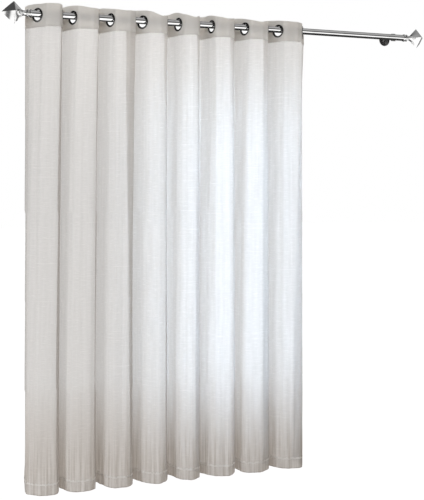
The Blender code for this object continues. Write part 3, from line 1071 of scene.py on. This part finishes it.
def weave_parts(tree, place):
    """The plain weave, its fine and long level slubs, and slow clouding."""
    warp = wave_of(tree, place, "X", YARN_PERIOD)
    weft = wave_of(tree, place, "Y", YARN_PERIOD)
    weave = math_node(tree, "MULTIPLY", math_node(tree, "ADD", warp, weft), 0.5)
    fine = noise_of(tree, scaled(tree, place, (0.030, 0.0016, 1.0)), 3.0)
    slub = ranged(tree, fine, 0.52, 0.74)
    lengthy = noise_of(tree, scaled(tree, place, (0.22, 0.0050, 1.0)), 2.0)
    streak = ranged(tree, lengthy, 0.60, 0.72)
    cloud = noise_of(tree, scaled(tree, place, (0.03, 0.25, 1.0)), 3.0)
    return weave, slub, streak, cloud


def voile_material():
    made, tree, shader = new_material("sheer_voile")
    place = cloth_coordinates(tree)
    weave, slub, streak, cloud = weave_parts(tree, place)
    split = tree.nodes.new("ShaderNodeSeparateXYZ")
    tree.links.new(place, split.inputs[0])
    # Share of the painted shade on the see-through, rising down the panel
    low = ranged(tree, split.outputs["Y"], *DENSE_AND_PAINTED_SHADE_DOWN)
    dense = ranged(tree, split.outputs["Y"], *DENSE_AND_PAINTED_SHADE_DOWN, *DENSE_COVER)
    # Painted sheen and shade: random pale and dark vertical streaks, strongest near the hem
    painted_streaks = noise_of(tree, scaled(tree, place, PAINTED_STREAK_CELLS), 3.0, 0.6)
    painted_streaks = ranged(tree, painted_streaks, 0.36, 0.64, -0.5, 0.5)
    strength = ranged(tree, split.outputs["Y"], *PAINTED_STREAK_DOWN, 0.10, 1.0)
    painted_streaks = times(tree, painted_streaks, strength)
    cover = plus(tree, dense, times(tree, math_node(tree, "SUBTRACT", weave, 0.5), 0.10))
    cover = plus(tree, cover, times(tree, slub, 0.08))
    cover = plus(tree, cover, times(tree, streak, 0.06))
    cover = plus(tree, cover, times(tree, math_node(tree, "SUBTRACT", cloud, 0.5), 0.10))
    single = ranged(tree, split.outputs["Z"], 0.4, 0.6, 1.0, TURNED_COVER)
    cover = times(tree, cover, single)
    waver = noise_of(tree, scaled(tree, place, PUCKER_CELLS), 2.0)
    down = plus(tree, split.outputs["Y"], ranged(tree, waver, 0.3, 0.7, -0.0024, 0.0024))
    strip_top = ranged(tree, down, STRIP[0] - STRIP_FADE, STRIP[0])
    strip_end = ranged(tree, down, STRIP[1] + STRIP_FADE, STRIP[1])
    strip = times(tree, strip_top, strip_end)
    strip = times(tree, strip, ranged(tree, waver, 0.38, 0.58, 0.35, 1.0))
    cover = plus(tree, cover, times(tree, strip, 0.30))
    # Painted light: the turned-up hem band is painted paler, so that its shading does not read darker
    # than the see-through cloth above it
    turned = ranged(tree, down, STRIP[0], STRIP[1])
    pale = plus(tree, plus(tree, times(tree, slub, 0.15), times(tree, cloud, 0.20)), plus(tree, painted_streaks, times(tree, strip, 0.5)))
    pale = plus(tree, pale, times(tree, turned, 0.26))
    pale = ranged(tree, pale, -0.6, 0.7)
    tint = mixed_colour(tree, pale, (0.52, 0.49, 0.455), (0.97, 0.965, 0.955))
    height = plus(tree, times(tree, weave, 0.4), plus(tree, times(tree, slub, 0.6), streak))
    normal = bump_of(tree, height, 0.35, 0.0005)
    body = cloth_body(tree, shader, tint, normal, sheen=0.15, through=0.45)
    clear = tree.nodes.new("ShaderNodeBsdfTransparent")
    # Painted shade: the front layer's see-through turns darker and warmer low down
    front = ranged(tree, split.outputs["Z"], 0.4, 0.6, 1.0, 0.15)
    clear_tint_and_painted_shade = mixed_colour(tree, times(tree, low, front), *CLEAR_TINT_AND_PAINTED_SHADE)
    tree.links.new(clear_tint_and_painted_shade, clear.inputs["Color"])
    surface = mix_shaders(tree, cover, clear.outputs[0], body)
    tree.links.new(surface, tree.nodes["Material Output"].inputs["Surface"])
    return made


def mix_shaders(tree, share, first, second):
    made = tree.nodes.new("ShaderNodeMixShader")
    if isinstance(share, float):
        made.inputs[0].default_value = share
    else:
        tree.links.new(share, made.inputs[0])
    tree.links.new(first, made.inputs[1])
    tree.links.new(second, made.inputs[2])
    return made.outputs[0]


def cloth_body(tree, shader, tint, normal, sheen, through):
    """Matt cloth that passes a share of the light through."""
    tree.links.new(tint, shader.inputs["Base Color"])
    tree.links.new(normal, shader.inputs["Normal"])
    shader.inputs["Roughness"].default_value = 0.75
    shader.inputs["Specular IOR Level"].default_value = 0.2
    shader.inputs["Sheen Weight"].default_value = sheen
    lit = tree.nodes.new("ShaderNodeBsdfTranslucent")
    tree.links.new(tint, lit.inputs["Color"])
    tree.links.new(normal, lit.inputs["Normal"])
    return mix_shaders(tree, through, shader.outputs[0], lit.outputs[0])


def heading_material():
    made, tree, shader = new_material("heading_cloth")
    place = cloth_coordinates(tree)
    weave, slub, streak, cloud = weave_parts(tree, place)
    tint = mixed_colour(
        tree,
        plus(tree, times(tree, slub, 0.4), times(tree, cloud, 0.6)),
        (0.80, 0.785, 0.76),
        (0.89, 0.88, 0.865),
    )
    height = plus(tree, times(tree, weave, 0.4), plus(tree, times(tree, slub, 0.6), streak))
    normal = bump_of(tree, height, 0.30, 0.0005)
    body = cloth_body(tree, shader, tint, normal, sheen=0.10, through=0.52)
    tree.links.new(body, tree.nodes["Material Output"].inputs["Surface"])
    return made


def thread_material():
    made, tree, shader = new_material("sewing_thread")
    place = tree.nodes.new("ShaderNodeTexCoord").outputs["Object"]
    twist = noise_of(tree, scaled(tree, place, (0.0006, 0.0006, 0.0006)), 2.0)
    tint = mixed_colour(tree, twist, (0.84, 0.83, 0.81), (0.94, 0.935, 0.92))
    tree.links.new(tint, shader.inputs["Base Color"])
    shader.inputs["Roughness"].default_value = 0.6
    return made


def metal_material(name, colour, rough, grain_cells):
    made, tree, shader = new_material(name)
    place = tree.nodes.new("ShaderNodeTexCoord").outputs["Object"]
    grain = noise_of(tree, scaled(tree, place, grain_cells), 3.0)
    smudge = noise_of(tree, scaled(tree, place, (0.05, 0.05, 0.05)), 2.0)
    darker = [channel * 0.86 for channel in colour]
    tint = mixed_colour(tree, ranged(tree, smudge, 0.3, 0.7), darker, colour)
    tree.links.new(tint, shader.inputs["Base Color"])
    roughness = ranged(tree, grain, 0.3, 0.7, rough * 0.7, rough * 1.3)
    tree.links.new(roughness, shader.inputs["Roughness"])
    tree.links.new(bump_of(tree, grain, 0.03, 0.0002), shader.inputs["Normal"])
    shader.inputs["Metallic"].default_value = 1.0
    return made


# Studio


FLOOR_DROP = 0.10
FLOOR_GLOW = 0.93


def make_floor():
    half = 30.0
    level = HEM - FLOOR_DROP
    corners = [(-half, -half, level), (half, -half, level), (half, half, level), (-half, half, level)]
    floor = mesh_object("floor", corners, [(0, 1, 2, 3)])
    made, tree, shader = new_material("floor")
    shader.inputs["Base Color"].default_value = (0.50, 0.43, 0.37, 1.0)
    shader.inputs["Roughness"].default_value = 0.9
    shader.inputs["Specular IOR Level"].default_value = 0.0
    bright = node(tree, "ShaderNodeEmission", Color=(1.0, 1.0, 1.0, 1.0), Strength=1.1)
    seen = tree.nodes.new("ShaderNodeLightPath").outputs["Is Camera Ray"]
    lit = math_node(tree, "MULTIPLY", seen, FLOOR_GLOW)
    surface = mix_shaders(tree, lit, shader.outputs[0], bright.outputs[0])
    tree.links.new(surface, tree.nodes["Material Output"].inputs["Surface"])
    floor.data.materials.append(made)
    floor.visible_glossy = False


def make_world():
    world = bpy.data.worlds.new("studio")
    bpy.context.scene.world = world
    world.use_nodes = True
    tree = world.node_tree
    tree.nodes.clear()
    fill = node(tree, "ShaderNodeBackground", Strength=1.0)
    tree.links.new(soft_fill(tree), fill.inputs["Color"])
    white = node(tree, "ShaderNodeBackground", Color=(1.0, 1.0, 1.0, 1.0), Strength=1.0)
    mirrored = node(tree, "ShaderNodeBackground", Strength=1.0)
    bands = reflected_bands(tree)
    tree.links.new(bands, mirrored.inputs["Color"])
    path = tree.nodes.new("ShaderNodeLightPath")
    first = mix_shaders(tree, path.outputs["Is Glossy Ray"], fill.outputs[0], mirrored.outputs[0])
    both = mix_shaders(tree, path.outputs["Is Camera Ray"], first, white.outputs[0])
    output = tree.nodes.new("ShaderNodeOutputWorld")
    tree.links.new(both, output.inputs["Surface"])


FILL_FROM = (-0.20, -0.94, 0.27)


def soft_fill(tree):
    """Warm and dim from behind, paler from the front left."""
    place = tree.nodes.new("ShaderNodeTexCoord").outputs["Generated"]
    towards = tree.nodes.new("ShaderNodeVectorMath")
    towards.operation = "DOT_PRODUCT"
    tree.links.new(place, towards.inputs[0])
    towards.inputs[1].default_value = FILL_FROM
    share = ranged(tree, towards.outputs["Value"], -0.2, 0.9)
    return mixed_colour(tree, share, (0.30, 0.262, 0.222), (0.42, 0.42, 0.415))


# What polished metal mirrors, by angle: 0 level to the front, 90 up, 180 to the back, -90 down
REFLECTED = (
    (-180, 0.04),
    (-84, 0.04),
    (-76, 1.30),
    (-16, 1.30),
    (-9, 0.03),
    (13, 0.03),
    (24, 0.30),
    (50, 0.34),
    (58, 0.50),
    (84, 0.50),
    (98, 0.05),
    (116, 0.05),
    (124, 0.45),
    (150, 0.45),
)

LOW_STRETCH = 1.7


def reflected_bands(tree):
    """Level bands of light and dark that polished metal mirrors."""
    place = tree.nodes.new("ShaderNodeTexCoord").outputs["Generated"]
    split = tree.nodes.new("ShaderNodeSeparateXYZ")
    tree.links.new(place, split.inputs[0])
    away = math_node(tree, "MULTIPLY", split.outputs["Y"], -1.0)
    turn = math_node(tree, "ARCTAN2", split.outputs["Z"], away)
    steeper = ranged(tree, split.outputs["X"], 0.26, 0.42, 1.0, LOW_STRETCH)
    low = math_node(tree, "MULTIPLY", math_node(tree, "MINIMUM", turn, 0.0), steeper)
    turn = math_node(tree, "ADD", low, math_node(tree, "MAXIMUM", turn, 0.0))
    share = ranged(tree, turn, -math.pi, math.pi)
    ramp = tree.nodes.new("ShaderNodeValToRGB")
    tree.links.new(share, ramp.inputs[0])
    elements = ramp.color_ramp.elements
    for index, (angle, grey) in enumerate(REFLECTED):
        place_at = (angle + 180) / 360
        element = elements[index] if index < 2 else elements.new(place_at)
        element.position = place_at
        element.color = (grey, grey, grey, 1.0)
    return sideways(tree, split, ramp.outputs["Color"])


def sideways(tree, split, bands):
    """To the far left and right the mirrored studio is dark above and striped below."""
    side = math_node(tree, "ABSOLUTE", split.outputs["X"], 0.0)
    far_left = ranged(tree, split.outputs["X"], -0.36, -0.44)
    far_right = ranged(tree, split.outputs["X"], 0.525, 0.55)
    far = math_node(tree, "MAXIMUM", far_left, far_right)
    right = ranged(tree, split.outputs["X"], -0.1, 0.1)
    crowded = ranged(tree, right, 0.0, 1.0, 78.0, 120.0)
    stripes = math_node(tree, "SINE", math_node(tree, "MULTIPLY", side, crowded), 0.0)
    floor = ranged(tree, stripes, -0.6, 0.2, 0.10, 1.1)
    below = ranged(tree, split.outputs["Z"], 0.10, -0.02)
    fore = ranged(tree, split.outputs["Y"], 0.36, 0.24)
    below = math_node(tree, "MULTIPLY", below, math_node(tree, "MAXIMUM", fore, right))
    below = math_node(tree, "MAXIMUM", below, math_node(tree, "MULTIPLY", right, 0.30))
    grey = math_node(tree, "ADD", math_node(tree, "MULTIPLY", floor, below), 0.08)
    made = tree.nodes.new("ShaderNodeMix")
    made.data_type = "RGBA"
    tree.links.new(far, made.inputs["Factor"])
    for socket, source in zip(colour_sockets(made.inputs), (bands, grey)):
        tree.links.new(source, socket)
    return colour_sockets(made.outputs)[0]


def add_area(name, place, aim, width, height, power, colour, spread):
    lamp = bpy.data.lights.new(name, "AREA")
    lamp.shape = "RECTANGLE"
    lamp.size, lamp.size_y = width, height
    lamp.energy = power
    lamp.color = colour
    lamp.spread = math.radians(spread)
    thing = bpy.data.objects.new(name, lamp)
    bpy.context.scene.collection.objects.link(thing)
    thing.location = place
    direction = np.array(aim, float) - np.array(place, float)
    thing.rotation_euler = Vector(direction).to_track_quat("-Z", "Y").to_euler()
    thing.visible_camera = False
    thing.visible_glossy = False
    return thing


# Lamps, one row each: name, place, aim, width, height, watts, colour and spread in degrees
LAMPS = (
    ("key", (-4.0, -1.9, 0.9), (-1.15, -0.1, -0.2), 1.4, 1.4, 26.0, (0.91, 0.95, 1.0), 180),
    ("front", (-1.9, -2.9, 0.9), (-1.15, -0.1, -0.2), 2.4, 1.2, 27.0, (0.95, 0.975, 1.0), 180),
    ("side", (1.2, -2.6, -0.2), (-1.1, -0.1, -0.9), 1.6, 1.6, 13.0, (0.95, 0.975, 1.0), 180),
    ("low", (-3.6, -1.5, -1.8), (-1.0, -0.1, -1.9), 0.5, 0.7, 7.0, (0.97, 0.98, 1.0), 100),
    ("back", (-1.18, 1.0, -0.75), (-1.18, 0.0, -0.75), 1.7, 1.6, 3.5, (0.93, 0.96, 1.0), 100),
    ("glow", (-0.84, 0.75, -1.03), (-0.84, 0.0, -1.03), 0.80, 1.50, 7.2, (0.64, 0.80, 1.0), 50),
    ("strip", (-1.18, 0.62, 0.20), (-1.18, 0.08, -0.02), 1.7, 0.2, 2.4, (1.0, 0.94, 0.87), 100),
)


def make_lights():
    for lamp in LAMPS:
        add_area(*lamp)


# Camera, in the photograph's frame of 424 by 500 pixels

CAMERA_ALONG = -0.56
CAMERA_BACK = -3.94
CAMERA_HEIGHT = -0.766
CAMERA_TURN = 19.8
SENSOR = 36.0
LONG_SIDE = 500
FOCAL_PIXELS = 900
HORIZON_ROW = 190


def make_camera():
    lens = bpy.data.cameras.new("camera")
    lens.sensor_width = SENSOR
    lens.lens = SENSOR * FOCAL_PIXELS / LONG_SIDE
    lens.shift_y = (HORIZON_ROW - LONG_SIDE / 2) / LONG_SIDE
    camera = bpy.data.objects.new("camera", lens)
    bpy.context.scene.collection.objects.link(camera)
    camera.location = (
        CAMERA_ALONG - RIGHT_BRACKET_AT,
        CAMERA_BACK - PLATE_TO_ROD,
        CAMERA_HEIGHT,
    )
    camera.rotation_euler = (math.pi / 2, 0, -math.radians(CAMERA_TURN))
    bpy.context.scene.camera = camera


def main():
    bpy.context.scene.view_settings.view_transform = "Standard"
    make_camera()
    plan = Plan()
    panel = make_panel(plan)
    heading = make_heading(plan)
    seam, hem = make_seam_stitches(plan), make_hem_stitches(plan)
    # Painted shade and painted dark reflections: the nickel of the eyelets and brackets gets a very
    # dark colour instead of being darkened by the light
    nickel_with_painted_shade = metal_material("nickel_painted_shade", (0.17, 0.168, 0.165), 0.16, (0.004, 0.004, 0.004))
    drawn = metal_material("drawn_nickel", (0.92, 0.915, 0.91), 0.055, (0.08, 0.0008, 0.0008))
    make_eyelets(nickel_with_painted_shade)
    make_rod(drawn)
    make_finials(drawn)
    for name in ("bracket_left", "bracket_right"):
        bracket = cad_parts[name]
        bracket.data.materials.clear()
        bracket.data.materials.append(nickel_with_painted_shade)
    for cloth in (panel, heading):
        cloth.visible_glossy = False
    make_floor()
    make_world()
    make_lights()


main()
